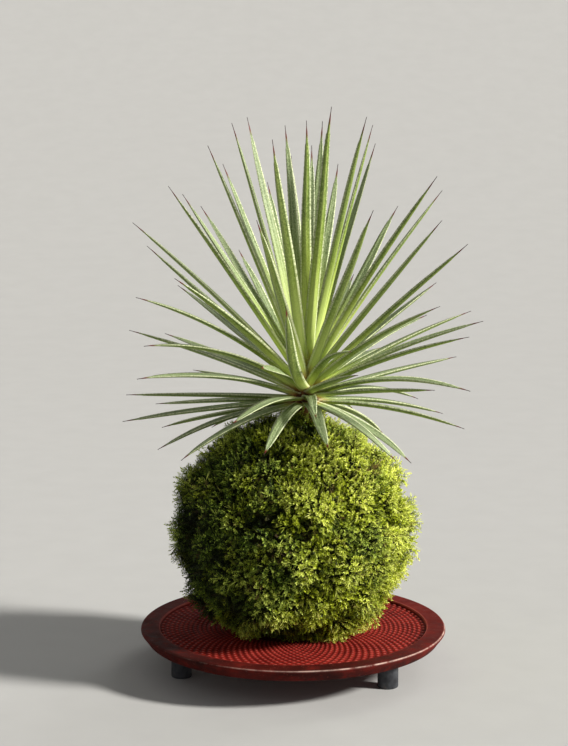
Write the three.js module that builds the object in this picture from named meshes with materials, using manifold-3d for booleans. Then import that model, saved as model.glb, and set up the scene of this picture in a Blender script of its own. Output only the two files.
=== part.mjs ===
// A kokedama: a narrow-leaved agave rooted in a ball of soil that is wrapped in moss. It stands on a
// round beaded plate with three feet.
// Millimetres and degrees. +Z is up, the feet stand on z = 0, and the front of the plant faces -Y.
import * as THREE from "three";
import { mergeVertices } from "three/addons/utils/BufferGeometryUtils.js";
import Module from "manifold-3d";

const wasm = await Module();
wasm.setup();

// Driving dimensions of the plate and its feet
const PLATE_RADIUS = 80;
const PLATE_UNDERSIDE_RADIUS = 77;
const PLATE_THICKNESS = 6.5;
const EDGE_ROUND = 0.9;
const FIELD_RADIUS = 70; // the beaded field inside the rim
const FIELD_DEPTH = 1.8; // from the rim's top down to the field
const RIM_SLOPE = 0.4; // how far the rim's inner wall leans out, as a share of that depth
const BEAD_HEIGHT = 1.1;
const BEAD_ROW_PITCH = 5.2;
const BEADS_PER_ROW = 36;
const INNER_BEAD_ROW = 26;
const FOOT_COUNT = 3;
const FOOT_RADIUS = 5.3;
const FOOT_HEIGHT = 15;
const FOOT_CHAMFER = 0.5;
const FOOT_SIDES = 20;
const FOOT_CIRCLE_RADIUS = 62;
const FIRST_FOOT_ANGLE = -39;
const TENON_RADIUS = 2.6;
const TENON_HEIGHT = 2.5;
const SOCKET_SIDES = 12;

// Driving dimensions of the ball
const BALL_HALF_WIDTH = 61.5; // the moss mat's own surface, without its tufts
const BALL_TOP_HEIGHT = 58; // above the ball's widest level
const BALL_BOTTOM_HEIGHT = 60; // below it, if the seat didn't flatten it
const TOP_SQUARENESS = 1.9; // 2 is an ellipsoid, and more is boxier
const BOTTOM_SQUARENESS = 2.3;
const BALL_SEAT_DEPTH = 55; // from the ball's centre down to the flat spot that it rests on
const MAT_FACETS = 13; // subdivisions of an icosahedron's edge
const MAT_SEED = 31;
const SOIL_FACETS = 5;
const LUMP_HEIGHT = 1.7;
const TUFT_HEIGHT = 2.2;
const CROWN_DIP = 2; // how far the mat sinks in under the leaves
const CROWN_DIP_RADIUS = 24;
const CROWN_DIP_FLOOR = 4; // the radius that it stays level within
const SOIL_HALF_WIDTH = 50;
const SOIL_TOP_HEIGHT = 47;
const SOIL_BOTTOM_HEIGHT = 49;
const TWINE_RADIUS = 0.55;
const TWINE_RINGS = 3;
const TWINE_STEPS = 44;
const TWINE_TILT = 48;
const TWINE_TURN = 20;
const TWINE_LIFT = 0.9; // the twine's centre above the pressed mat
const TWINE_PRESS = 1.3; // how far the twine presses the mat in
const TWINE_GROOVE_HALF_WIDTH = 5;
const TWINE_GROOVE_FLOOR = 0.6; // the share of that width that is pressed in fully

// Driving dimensions of the plant
const CROWN_OFFSET_X = 6.5; // the plant stands a little to the right of the ball's centre
const CROWN_ABOVE_BALL = 64; // the lowest leaves' height above the ball's centre
const CROWN_HEIGHT = 16;
const CROWN_RADIUS = 7.5;
const ROOTSTOCK_DEPTH = 42;
const STEM_SIDES = 14;
const ROOT_INSET_LOW = 3.5; // from the stem's axis out to where the lowest leaves start
const ROOT_INSET_HIGH = 0.8;
const LEAF_WIDTH = 6;
const LEAF_THICKNESS = 2.4;
const LEAF_SEGMENTS = 5;
const BLADE_OVER_LINE = 0.3; // the share of its thickness that a blade has above its middle line
const TAPER_DELAY = 3.2; // the higher it is, the longer a blade stays even before it narrows
const TAPER_POWER = 0.75;
const LEVEL_LEAF_LENGTH = 95; // a leaf that stands out level
const UPRIGHT_LEAF_GAIN = 50; // how much longer an upright leaf is
const SHORTEST_SHARE = 0.86; // leaves vary from this share of their usual length
const LONGEST_SHARE = 1.02; // to this one
const LOW_LEAF_LOSS = 40; // how fast leaves get shorter below level
const LOWEST_PITCH = -22;
const HIGHEST_PITCH = 87;
const USUAL_DROOP = 3; // degrees that a leaf bends down over its length
const LEAF_OVER_MOSS = 5.2; // from the mat's own surface up to the middle of a leaf
const HIDDEN_SPIRAL = 110; // turns of the spiral that fills in the leaves hidden from the front
const GOLDEN_ANGLE = 137.508;
const ROOM_FOR_A_LEAF = 13; // degrees between a seen leaf and the spiral's nearest
const HIDDEN_SECTOR = [8, 172]; // the headings, in degrees, that the spiral's leaves keep to
const HIGHEST_HIDDEN_PITCH = 50;
const LOWEST_HIDDEN_DROOP = 24; // of the spiral's lowest leaves, fading to none at its top
const STRAY = { pitch: 5, heading: 9, droop: 5, width: 0.1 }; // how far the spiral's leaves stray
const MOST_TWIST = 14; // degrees, from a leaf's root to its tip
const TWIST_STEP = 2.4; // radians between one leaf's place in the swing of twists and the next one's
const LEAF_SEED = 42;
const CLEARANCE = 0.35; // between pieces that touch

// The point that the plant is seen from, in millimetres from the foot of its lowest leaves.
const EYE = new THREE.Vector3(-6.5, -1054, 197);
const FRONT = 1;
const BACK = -1;

// The leaves that are seen from the eye point. Each is given by its tip, in millimetres to the right
// of the stem and above the lowest leaves, in the upright plane through the stem, and by the side of
// that plane it leans to. After that come the droop in degrees, the shares of the usual width and
// length, and the twist in degrees, where they aren't the usual ones.
const SEEN_LEAVES = [
  // the upright fan, from left to right
  [-86, 93, FRONT, 9], [-79, 81, BACK], [-68, 111, FRONT], [-61, 107, BACK], [-52, 101, BACK],
  [-48, 131, BACK], [-41, 122, BACK], [-36, 142, FRONT], [-33, 79, BACK], [-29, 145, BACK],
  [-25, 94, FRONT], [-19, 113, BACK], [-17, 134, FRONT], [-10, 141, BACK], [-7, 126, BACK], [0, 143, FRONT],
  [3, 131, BACK], [8, 143, BACK], [12, 150, FRONT], [16, 122, BACK], [29, 145, FRONT],
  [32, 141, BACK], [33, 99, FRONT], [34, 132, BACK], [46, 101, BACK], [64, 116, FRONT, 8],
  [67, 109, BACK, 8], [67, 94, FRONT], [80, 82, FRONT],
  // the spreading leaves on the left, from the top down
  [-66, 65, FRONT, 12, 1.15], [-64, 61, BACK, 6], [-86, 56, FRONT, 26], [-89, 38, BACK, 10],
  [-71, 36, BACK, 8], [-83, 31, FRONT, 36, 1.25], [-57, 17, BACK, 8], [-86, 13, FRONT, 26, 1.15],
  [-91, 4, BACK, 5], [-76, -1, BACK, 5], [-93, -10, BACK, 6], [-72, -18, BACK, 10],
  [-75, -28, FRONT, 26], [-64, -31, FRONT, 28, 1.1],
  // the spreading leaves on the right, from the top down
  [67, 51, FRONT, 18, 1.2], [83, 48, BACK, 12], [89, 43, FRONT, 16], [82, 35, FRONT, 14], [76, 24, BACK, 6],
  [84, 7, FRONT, 34], [65, 7, FRONT, 6], [58, 2, BACK, 34], [70, -6, BACK, 20], [81, -14, FRONT, 22],
  [54, -32, FRONT, 24, 1.05], [46, -31, FRONT, 24, 1.05],
  // the short leaves that point at the eye, from the one that curls up to the ones that lie on the moss
  [-11, 51, FRONT, -48, 1.05, 0.8], [23, 28, FRONT, 40, 1, 0.62], [26, 15, FRONT, 8, 1, 0.75],
  [-23, 19, FRONT, 30, 1.4, 0.45, -50], [5, -8, FRONT, 50, 1, 0.5], [-38, -11, FRONT, 26, 1.15, 0.8],
  [11, -25, FRONT, 30, 1.1, 0.72], [-22, -28, FRONT, 32, 1.15, 0.75],
];

// Heights that follow from the driving dimensions
const UNDERSIDE_Z = FOOT_HEIGHT;
const RIM_Z = UNDERSIDE_Z + PLATE_THICKNESS;
const FIELD_Z = RIM_Z - FIELD_DEPTH;
const SEAT_Z = FIELD_Z + BEAD_HEIGHT + CLEARANCE;
const BALL_Z = SEAT_Z + BALL_SEAT_DEPTH;
const CROWN_Z = BALL_Z + CROWN_ABOVE_BALL;

const radians = THREE.MathUtils.degToRad;

// A repeatable stream of numbers from 0 to 1.
function seeded(seed) {
  let state = seed >>> 0;
  return () => {
    state = (Math.imul(state, 1664525) + 1013904223) >>> 0;
    return state / 4294967296;
  };
}

// A closed three.js geometry as a solid that can be joined and cut.
function solidOf(geometry) {
  const bare = geometry.clone();
  bare.deleteAttribute("normal");
  bare.deleteAttribute("uv");
  const merged = mergeVertices(bare, 1e-4);
  return new wasm.Manifold(
    new wasm.Mesh({
      numProp: 3,
      vertProperties: new Float32Array(merged.attributes.position.array),
      triVerts: new Uint32Array(merged.index.array),
    }),
  );
}

// A solid back as a three.js geometry.
function geometryOf(solid) {
  const mesh = solid.getMesh();
  const geometry = new THREE.BufferGeometry();
  geometry.setAttribute("position", new THREE.BufferAttribute(mesh.vertProperties, 3));
  geometry.setIndex(new THREE.BufferAttribute(mesh.triVerts, 1));
  geometry.computeVertexNormals();
  return geometry;
}

// A profile of [radius, height] points turned about +Z. It runs from the bottom up, and both of its
// ends are on the axis.
function turned(profile, segments) {
  const points = profile.map(([r, z]) => new THREE.Vector2(r, z));
  return new THREE.LatheGeometry(points, segments).rotateX(Math.PI / 2);
}

// Plate: a disc with a raised rim round a sunk field of beads
function plateProfile() {
  const rimInner = FIELD_RADIUS + FIELD_DEPTH * RIM_SLOPE;
  const points = [
    [0, UNDERSIDE_Z],
    [PLATE_UNDERSIDE_RADIUS - EDGE_ROUND, UNDERSIDE_Z],
    [PLATE_UNDERSIDE_RADIUS, UNDERSIDE_Z + EDGE_ROUND],
    [PLATE_RADIUS, RIM_Z - EDGE_ROUND],
    [PLATE_RADIUS - EDGE_ROUND, RIM_Z],
    [rimInner, RIM_Z],
    [FIELD_RADIUS, FIELD_Z],
  ];
  const step = BEAD_ROW_PITCH / 2;
  for (let r = FIELD_RADIUS - step; r > INNER_BEAD_ROW - BEAD_ROW_PITCH; r -= step) {
    points.push([r, FIELD_Z]);
  }
  points.push([0, FIELD_Z]);
  return points;
}

function plate() {
  const profile = plateProfile();
  const segments = BEADS_PER_ROW * 2;
  const fieldEdge = profile.findIndex(([r, z]) => r === FIELD_RADIUS && z === FIELD_Z);
  const geometry = new THREE.LatheGeometry(
    profile.map(([r, z]) => new THREE.Vector2(r, z)),
    segments,
  );
  const position = geometry.attributes.position;
  for (let i = 0; i < position.count; i++) {
    const segment = Math.floor(i / profile.length) % segments;
    const row = (i % profile.length) - fieldEdge;
    const beadRow = row > 0 && row % 2 === 1 && i % profile.length < profile.length - 2;
    const stagger = ((row - 1) / 2) % 2;
    if (beadRow && segment % 2 === stagger) position.setY(i, FIELD_Z + BEAD_HEIGHT);
  }
  geometry.rotateX(Math.PI / 2);
  let solid = solidOf(geometry);
  for (const [x, y] of footPlaces()) {
    const socket = turned(
      [
        [0, -1],
        [TENON_RADIUS + CLEARANCE, -1],
        [TENON_RADIUS + CLEARANCE, TENON_HEIGHT + CLEARANCE],
        [0, TENON_HEIGHT + CLEARANCE],
      ],
      SOCKET_SIDES,
    ).translate(x, y, UNDERSIDE_Z);
    solid = solid.subtract(solidOf(socket));
  }
  return geometryOf(solid);
}

// Feet: plain round pegs, each with a tenon that sits in a socket in the plate's underside
function footPlaces() {
  return Array.from({ length: FOOT_COUNT }, (_, i) => {
    const angle = radians(FIRST_FOOT_ANGLE + (360 / FOOT_COUNT) * i);
    return [FOOT_CIRCLE_RADIUS * Math.cos(angle), FOOT_CIRCLE_RADIUS * Math.sin(angle)];
  });
}

function foot() {
  const shoulder = FOOT_HEIGHT - CLEARANCE;
  return turned(
    [
      [0, 0],
      [FOOT_RADIUS - FOOT_CHAMFER, 0],
      [FOOT_RADIUS, FOOT_CHAMFER],
      [FOOT_RADIUS, shoulder],
      [TENON_RADIUS, shoulder],
      [TENON_RADIUS, FOOT_HEIGHT + TENON_HEIGHT],
      [0, FOOT_HEIGHT + TENON_HEIGHT],
    ],
    FOOT_SIDES,
  );
}

// Ball: the radius, in a direction, of a form that is an ellipsoid above and a little boxier below
function ballRadius(direction, halfWidth, topHeight, bottomHeight) {
  const above = direction.z > 0;
  const squareness = above ? TOP_SQUARENESS : BOTTOM_SQUARENESS;
  const level = Math.hypot(direction.x, direction.y) / halfWidth;
  const upright = Math.abs(direction.z) / (above ? topHeight : bottomHeight);
  return (level ** squareness + upright ** squareness) ** (-1 / squareness);
}

// The poles of the great circles that the twine follows.
const twinePoles = Array.from({ length: TWINE_RINGS }, (_, i) => {
  const turn = radians((360 / TWINE_RINGS) * i + TWINE_TURN);
  const tilt = radians(TWINE_TILT);
  return new THREE.Vector3(Math.sin(tilt) * Math.cos(turn), Math.sin(tilt) * Math.sin(turn), Math.cos(tilt));
});

function matRadius(direction) {
  return ballRadius(direction, BALL_HALF_WIDTH, BALL_TOP_HEIGHT, BALL_BOTTOM_HEIGHT);
}

// How much the twine presses the mat in a direction: 1 under it, and 0 away from it.
function twinePress(direction) {
  const nearest = Math.min(...twinePoles.map((pole) => Math.abs(Math.asin(direction.dot(pole)))));
  const away = nearest * BALL_HALF_WIDTH;
  const floor = TWINE_GROOVE_HALF_WIDTH * TWINE_GROOVE_FLOOR;
  return 1 - THREE.MathUtils.smoothstep(away, floor, TWINE_GROOVE_HALF_WIDTH);
}

// Broad swells of the moss mat, as a share of their height.
function lumps(d) {
  return (
    Math.sin(6.1 * d.x + 1.7 * d.z + 0.4) * Math.cos(5.3 * d.y - 2.2 * d.z) +
    0.6 * Math.sin(11 * d.z + 4.7 * d.x) * Math.cos(9.4 * d.x - 7.9 * d.y + 1.3)
  );
}

// How far the mat sinks round the plant's foot.
function crownDip(direction, radius) {
  if (direction.z <= 0) return 0;
  const away = Math.hypot(direction.x * radius - CROWN_OFFSET_X, direction.y * radius);
  return CROWN_DIP * (1 - THREE.MathUtils.smoothstep(away, CROWN_DIP_FLOOR, CROWN_DIP_RADIUS));
}

function mossCover(soilRoom, stemRoom) {
  const geometry = mergeVertices(bareOf(new THREE.IcosahedronGeometry(1, MAT_FACETS)), 1e-5);
  const position = geometry.attributes.position;
  const random = seeded(MAT_SEED);
  const point = new THREE.Vector3();
  for (let i = 0; i < position.count; i++) {
    point.fromBufferAttribute(position, i).normalize();
    const radius = matRadius(point);
    const press = twinePress(point);
    const relief = LUMP_HEIGHT * lumps(point) + TUFT_HEIGHT * random();
    const height = relief * (1 - press) - TWINE_PRESS * press - crownDip(point, radius);
    point.multiplyScalar(radius + height);
    position.setXYZ(i, point.x, point.y, Math.max(point.z, -BALL_SEAT_DEPTH));
  }
  geometry.translate(0, 0, BALL_Z);
  return geometryOf(solidOf(geometry).subtract(soilRoom).subtract(stemRoom));
}

function bareOf(geometry) {
  geometry.deleteAttribute("normal");
  geometry.deleteAttribute("uv");
  return geometry;
}

function soilGeometry(margin) {
  const geometry = mergeVertices(bareOf(new THREE.IcosahedronGeometry(1, SOIL_FACETS)), 1e-5);
  const position = geometry.attributes.position;
  const point = new THREE.Vector3();
  for (let i = 0; i < position.count; i++) {
    point.fromBufferAttribute(position, i).normalize();
    const radius = ballRadius(point, SOIL_HALF_WIDTH, SOIL_TOP_HEIGHT, SOIL_BOTTOM_HEIGHT);
    point.multiplyScalar(radius + margin);
    position.setXYZ(i, point.x, point.y, point.z);
  }
  return geometry.translate(0, 0, BALL_Z);
}

// Twine: great circles wound over the moss mat, joined where they cross
function twineRing(pole) {
  const geometry = new THREE.TorusGeometry(BALL_HALF_WIDTH, TWINE_RADIUS, 4, TWINE_STEPS);
  const turn = new THREE.Quaternion().setFromUnitVectors(new THREE.Vector3(0, 0, 1), pole);
  geometry.applyQuaternion(turn);
  const position = geometry.attributes.position;
  const point = new THREE.Vector3();
  for (let i = 0; i < position.count; i++) {
    point.fromBufferAttribute(position, i);
    const outward = point.clone().projectOnPlane(pole).normalize();
    const mat = matRadius(outward) - crownDip(outward, BALL_HALF_WIDTH);
    const centre = mat - TWINE_PRESS + TWINE_LIFT + TWINE_RADIUS;
    point.addScaledVector(outward, centre - BALL_HALF_WIDTH);
    position.setXYZ(i, point.x, point.y, point.z);
  }
  return geometry.translate(0, 0, BALL_Z);
}

function twine() {
  return geometryOf(wasm.Manifold.union(twinePoles.map((pole) => solidOf(twineRing(pole)))));
}

// Plant: the stub of stem that carries the leaves, with the rootstock that tapers down into the soil
function stemProfile(margin) {
  return [
    [0, -ROOTSTOCK_DEPTH - margin],
    [2 + margin, -ROOTSTOCK_DEPTH + 2 - margin],
    [4.2 + margin, -ROOTSTOCK_DEPTH / 2],
    [CROWN_RADIUS - 2 + margin, -5],
    [CROWN_RADIUS - 0.5 + margin, 0],
    [CROWN_RADIUS - 1 + margin, CROWN_HEIGHT * 0.45],
    [CROWN_RADIUS - 4 + margin, CROWN_HEIGHT * 0.9],
    [0, CROWN_HEIGHT + margin],
  ];
}

function stem(margin) {
  return turned(stemProfile(margin), STEM_SIDES).translate(CROWN_OFFSET_X, 0, CROWN_Z);
}

// A leaf's length for its pitch: upright leaves are the longest and the lowest are the shortest.
function leafLength(pitch) {
  const rise = Math.sin(radians(pitch));
  return LEVEL_LEAF_LENGTH + (rise > 0 ? UPRIGHT_LEAF_GAIN * rise ** 1.5 : LOW_LEAF_LOSS * rise);
}

// How high on the stem a leaf is rooted: the lowest leaves at its foot, and the upright ones at its top.
function rootHeight(pitch) {
  const share = (pitch - LOWEST_PITCH) / (HIGHEST_PITCH - LOWEST_PITCH);
  return CROWN_HEIGHT * THREE.MathUtils.clamp(share, 0, 1);
}

function rootInset(height) {
  return ROOT_INSET_LOW + ((ROOT_INSET_HIGH - ROOT_INSET_LOW) * height) / CROWN_HEIGHT;
}

function pitchOf(point, height) {
  return THREE.MathUtils.radToDeg(Math.atan2(point.z - height, Math.hypot(point.x, point.y)));
}

// A leaf from where its tip is seen: the tip moves along the line of sight until the leaf has its
// usual length.
function seenLeaf([right, up, side, droop = USUAL_DROOP, width = 1, share, twist], usualShare) {
  const tip = new THREE.Vector3(right, 0, up);
  const step = EYE.clone().sub(tip).normalize().multiplyScalar(side);
  for (;;) {
    const height = rootHeight(pitchOf(tip, CROWN_HEIGHT / 2));
    const pitch = pitchOf(tip, height);
    const length = Math.hypot(tip.x, tip.y, tip.z - height) - rootInset(height);
    const azimuth = THREE.MathUtils.radToDeg(Math.atan2(tip.y, tip.x));
    if (length >= leafLength(pitch) * (share ?? usualShare)) {
      return { azimuth, pitch, length, droop, width, height, twist };
    }
    tip.add(step);
  }
}

function shareOf(draw) {
  return THREE.MathUtils.lerp(SHORTEST_SHARE, LONGEST_SHARE, draw);
}

function angleBetween(a, b) {
  const [pa, pb] = [radians(a.pitch), radians(b.pitch)];
  const turn = radians(a.azimuth - b.azimuth);
  const cosine = Math.sin(pa) * Math.sin(pb) + Math.cos(pa) * Math.cos(pb) * Math.cos(turn);
  return THREE.MathUtils.radToDeg(Math.acos(Math.min(1, cosine)));
}

// The leaves hidden from the front: a golden-angle spiral, where it passes between the seen leaves
// at the back.
function hiddenLeaves(seen, random) {
  const stray = () => random() * 2 - 1;
  const hidden = [];
  for (let i = 0; i < HIDDEN_SPIRAL; i++) {
    const age = i / (HIDDEN_SPIRAL - 1);
    const pitch = LOWEST_PITCH + (HIGHEST_PITCH - LOWEST_PITCH) * age + STRAY.pitch * stray();
    const azimuth = THREE.MathUtils.euclideanModulo(i * GOLDEN_ANGLE + STRAY.heading * stray(), 360);
    const leaf = {
      azimuth,
      pitch,
      length: leafLength(pitch) * shareOf(random()),
      droop: LOWEST_HIDDEN_DROOP * (1 - age) ** 1.5 + STRAY.droop * stray(),
      width: 1 + STRAY.width * stray(),
      height: rootHeight(pitch),
    };
    const inSector = azimuth > HIDDEN_SECTOR[0] && azimuth < HIDDEN_SECTOR[1];
    const atBack = inSector && pitch < HIGHEST_HIDDEN_PITCH;
    if (atBack && seen.every((other) => angleBetween(leaf, other) > ROOM_FOR_A_LEAF)) hidden.push(leaf);
  }
  return hidden;
}

// Every leaf, with a slight twist that differs from one to the next where it has none of its own.
function leafPlan() {
  const random = seeded(LEAF_SEED);
  const seen = SEEN_LEAVES.map((tip) => seenLeaf(tip, shareOf(random())));
  const plan = [...seen, ...hiddenLeaves(seen, random)];
  const usualTwist = (i) => MOST_TWIST * Math.sin(TWIST_STEP * i);
  return plan.map((leaf, i) => ({ ...liftedClear(leaf), twist: leaf.twist ?? usualTwist(i) }));
}

// The line that a leaf follows from its root on the stem, bent along an arc in its own upright plane.
function leafLine({ azimuth, pitch, length, droop, height }) {
  const heading = radians(azimuth);
  const bend = radians(Math.abs(droop) < 0.5 ? 0.5 : droop);
  const start = radians(pitch) + bend / 2;
  const outward = new THREE.Vector3(Math.cos(heading), Math.sin(heading), 0);
  const up = new THREE.Vector3(0, 0, 1);
  const inset = rootInset(height);
  const towards = (angle) =>
    outward.clone().multiplyScalar(Math.cos(angle)).addScaledVector(up, Math.sin(angle));
  return {
    sideways: new THREE.Vector3(-Math.sin(heading), Math.cos(heading), 0),
    point: (s) => {
      const angle = start - bend * s;
      return outward
        .clone()
        .multiplyScalar(inset + (length * (Math.sin(start) - Math.sin(angle))) / bend)
        .addScaledVector(up, height + (length * (Math.cos(angle) - Math.cos(start))) / bend)
        .add(new THREE.Vector3(CROWN_OFFSET_X, 0, CROWN_Z));
    },
    tangent: (s) => towards(start - bend * s),
    normal: (s) => towards(start - bend * s + Math.PI / 2),
  };
}

// A leaf lifted, where it would press into the moss, until it lies just over it.
function liftedClear(leaf) {
  const lifted = { ...leaf };
  while (touchesBall(lifted)) lifted.pitch += 0.5;
  return lifted;
}

function touchesBall(leaf) {
  const line = leafLine(leaf);
  return [0.25, 0.4, 0.55, 0.7, 0.85, 1].some((s) => {
    const point = line.point(s).sub(new THREE.Vector3(0, 0, BALL_Z));
    return point.length() < matRadius(point.clone().normalize()) + LEAF_OVER_MOSS;
  });
}

// The blade's width at a share of its length, as a share of its full width: nearly even, then drawn
// out to a spine.
function bladeTaper(s) {
  return (1 - s ** TAPER_DELAY) ** TAPER_POWER;
}

// A blade: a three-sided cone with a flat upper face and a keel below, bent along the leaf's line.
function leafGeometry(leaf) {
  const line = leafLine(leaf);
  const geometry = new THREE.ConeGeometry(1, 1, 3, LEAF_SEGMENTS);
  const position = geometry.attributes.position;
  for (let i = 0; i < position.count; i++) {
    const along = position.getY(i) + 0.5;
    const radius = Math.max(1 - along, 1e-9);
    const across = position.getX(i) / radius / Math.sin(radians(120));
    const depth = (position.getZ(i) / radius + 0.5) / 1.5;
    const taper = bladeTaper(along);
    const tangent = line.tangent(along);
    const turn = radians(leaf.twist * along);
    const sideways = line.sideways.clone().applyAxisAngle(tangent, turn);
    const normal = line.normal(along).applyAxisAngle(tangent, turn);
    const point = line
      .point(along)
      .addScaledVector(sideways, (LEAF_WIDTH / 2) * leaf.width * taper * across)
      .addScaledVector(normal, LEAF_THICKNESS * taper ** TAPER_POWER * (BLADE_OVER_LINE - depth));
    position.setXYZ(i, point.x, point.y, point.z);
  }
  return geometry;
}

// A solid with the pockets that are sealed inside it filled in.
function withoutPockets(solid) {
  return wasm.Manifold.union(solid.decompose().filter((shell) => shell.volume() > 0));
}

function agave() {
  const blades = leafPlan().map((leaf) => solidOf(leafGeometry(leaf)));
  return geometryOf(withoutPockets(wasm.Manifold.union([solidOf(stem(0)), ...blades])));
}

// Assembly
const part = new THREE.Group();

function add(name, geometry, material) {
  const mesh = new THREE.Mesh(geometry, new THREE.MeshStandardMaterial(material));
  mesh.name = name;
  part.add(mesh);
  return mesh;
}

const stemRoom = solidOf(stem(CLEARANCE));
add("plate", plate(), { color: 0x8c2a24, roughness: 0.45, metalness: 0.2 });
footPlaces().forEach(([x, y], i) => {
  add(`foot_${i + 1}`, foot(), { color: 0x2b2c2f, roughness: 0.6, metalness: 0.1 }).position.set(x, y, 0);
});
const soil = solidOf(soilGeometry(0)).subtract(stemRoom);
const soilRoom = solidOf(soilGeometry(CLEARANCE));
add("soil_ball", geometryOf(soil), { color: 0x2e2118, roughness: 1 });
add("moss_cover", mossCover(soilRoom, stemRoom), { color: 0x6f8a2a, roughness: 1 });
add("binding_twine", twine(), { color: 0x4a3d26, roughness: 0.9 });
add("agave", agave(), { color: 0x93ad72, roughness: 0.55 });

// The origin is on the floor, at the centre of the whole object's outline.
const bounds = new THREE.Box3().setFromObject(part);
part.position.set(-(bounds.min.x + bounds.max.x) / 2, -(bounds.min.y + bounds.max.y) / 2, 0);

export default part;
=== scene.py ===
"""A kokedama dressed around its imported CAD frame: an agave in a ball of moss, on a round beaded plate.

Lengths are millimetres, turned into metres where Blender is given them. Every piece is built about the
plate's own axis and then set where the frame's plate stands.
"""
import math

import bmesh
import bpy
import numpy as np
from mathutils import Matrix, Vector


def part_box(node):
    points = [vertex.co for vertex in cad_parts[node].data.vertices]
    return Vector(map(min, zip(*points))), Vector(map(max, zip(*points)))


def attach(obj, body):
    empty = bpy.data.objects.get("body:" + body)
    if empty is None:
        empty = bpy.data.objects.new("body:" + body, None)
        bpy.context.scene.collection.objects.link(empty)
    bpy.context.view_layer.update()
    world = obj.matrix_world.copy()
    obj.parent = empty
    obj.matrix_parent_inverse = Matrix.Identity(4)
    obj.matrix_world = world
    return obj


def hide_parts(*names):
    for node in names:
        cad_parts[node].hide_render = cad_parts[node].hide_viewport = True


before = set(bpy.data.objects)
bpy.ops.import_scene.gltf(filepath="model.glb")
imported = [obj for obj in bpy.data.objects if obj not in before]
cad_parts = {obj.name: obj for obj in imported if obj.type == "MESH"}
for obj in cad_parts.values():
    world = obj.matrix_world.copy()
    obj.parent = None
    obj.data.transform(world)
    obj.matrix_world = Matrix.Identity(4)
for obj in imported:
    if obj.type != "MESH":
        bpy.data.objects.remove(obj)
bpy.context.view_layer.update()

MM = 0.001
GOLDEN_ANGLE = 137.508


def box_mm(node):
    """A node's lowest and highest corners, in millimetres."""
    low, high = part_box(node)
    return np.array(low) / MM, np.array(high) / MM


PLATE_LOW, PLATE_HIGH = box_mm("plate")
HOME = (PLATE_LOW + PLATE_HIGH) / 2 * [1, 1, 0]
PLATE_RADIUS = (PLATE_HIGH[0] - PLATE_LOW[0]) / 2
UNDERSIDE_Z, RIM_Z = PLATE_LOW[2], PLATE_HIGH[2]
SEAT_Z = box_mm("moss_cover")[0][2]
CROWN_OFFSET_X = 6.5
BALL_SEAT_DEPTH = 55  # from the ball's centre down to the flat spot that it rests on
CROWN_ABOVE_BALL = 64
BALL_Z = SEAT_Z + BALL_SEAT_DEPTH
CROWN_Z = BALL_Z + CROWN_ABOVE_BALL


# Meshes

def new_object(name, data):
    thing = bpy.data.objects.new(name, data)
    bpy.context.scene.collection.objects.link(thing)
    return thing


def new_mesh(name, points, faces, smooth=True):
    """A mesh object of points in millimetres about the plate's axis, and of arrays of faces' corners."""
    mesh = bpy.data.meshes.new(name)
    mesh.vertices.add(len(points))
    mesh.vertices.foreach_set("co", ((np.asarray(points) + HOME) * MM).astype(np.float32).ravel())
    sizes = np.concatenate([np.full(len(group), group.shape[1]) for group in faces])
    corners = np.concatenate([group.ravel() for group in faces]).astype(np.int32)
    mesh.loops.add(len(corners))
    mesh.loops.foreach_set("vertex_index", corners)
    mesh.polygons.add(len(sizes))
    mesh.polygons.foreach_set("loop_start", (np.cumsum(sizes) - sizes).astype(np.int32))
    mesh.polygons.foreach_set("use_smooth", np.full(len(sizes), smooth))
    mesh.update(calc_edges=True)
    return new_object(name, mesh)


def vectors(shape, *columns):
    """A vector for each point of a grid, from three columns broadcast to its shape."""
    return np.stack([np.broadcast_to(column, shape) for column in columns], -1).reshape(-1, 3)


def set_vectors(piece, name, values):
    """Stores a vector for each vertex, which the materials read by its name."""
    attribute = piece.data.attributes.new(name, "FLOAT_VECTOR", "POINT")
    attribute.data.foreach_set("vector", np.asarray(values, np.float32).ravel())


def grid_faces(rows, columns):
    """Quads over a grid of points stored row by row, its last column joined to the first."""
    row = np.arange(rows - 1)[:, None] * columns
    column = np.arange(columns)[None, :]
    after = (column + 1) % columns
    quads = [row + column, row + after, row + columns + after, row + columns + column]
    return np.stack(quads, -1).reshape(-1, 4)


def copied(faces, count, corners):
    """The faces of so many like forms, the points of which follow one another."""
    return (faces + np.arange(count)[:, None, None] * corners).reshape(-1, faces.shape[1])


def arc(centre, radius, start, end, count):
    """Points [r, z] on an arc in a profile, with its angles in degrees."""
    angles = np.radians(np.linspace(start, end, count))
    return [(centre[0] + radius * math.cos(a), centre[1] + radius * math.sin(a)) for a in angles]


def turned(name, profile, columns, bump=None):
    """A closed turned piece over a profile [r, z] from its bottom up, with a bump(r, angle, z) on it."""
    angle = np.linspace(0, 2 * math.pi, columns, endpoint=False)
    radii, heights = np.array(profile, float).T[..., None]
    z = heights if bump is None else heights + bump(radii, angle, heights)
    points = vectors((len(profile), columns), radii * np.cos(angle), radii * np.sin(angle), z)
    ends = [[0, 0, heights[0, 0]], [0, 0, heights[-1, 0]]]
    first = np.arange(columns)
    after = (first + 1) % columns
    last = len(points) - columns
    middle = np.full(columns, len(points))
    cap_low = np.stack([middle, after, first], -1)
    cap_high = np.stack([middle + 1, last + first, last + after], -1)
    return new_mesh(name, np.vstack([points, ends]), [grid_faces(len(profile), columns), cap_low, cap_high])


def shift(piece, x, y):
    """Moves a piece's points sideways, in millimetres."""
    for vertex in piece.data.vertices:
        vertex.co.x += x * MM
        vertex.co.y += y * MM


def finish_piece(piece, material, slot, *nodes):
    """Gives a piece its material, its body and the CAD nodes that it stands for. Its slot is not used."""
    piece.data.materials.append(material)
    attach(piece, "root")
    if nodes:
        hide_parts(*nodes)


# Materials

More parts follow.
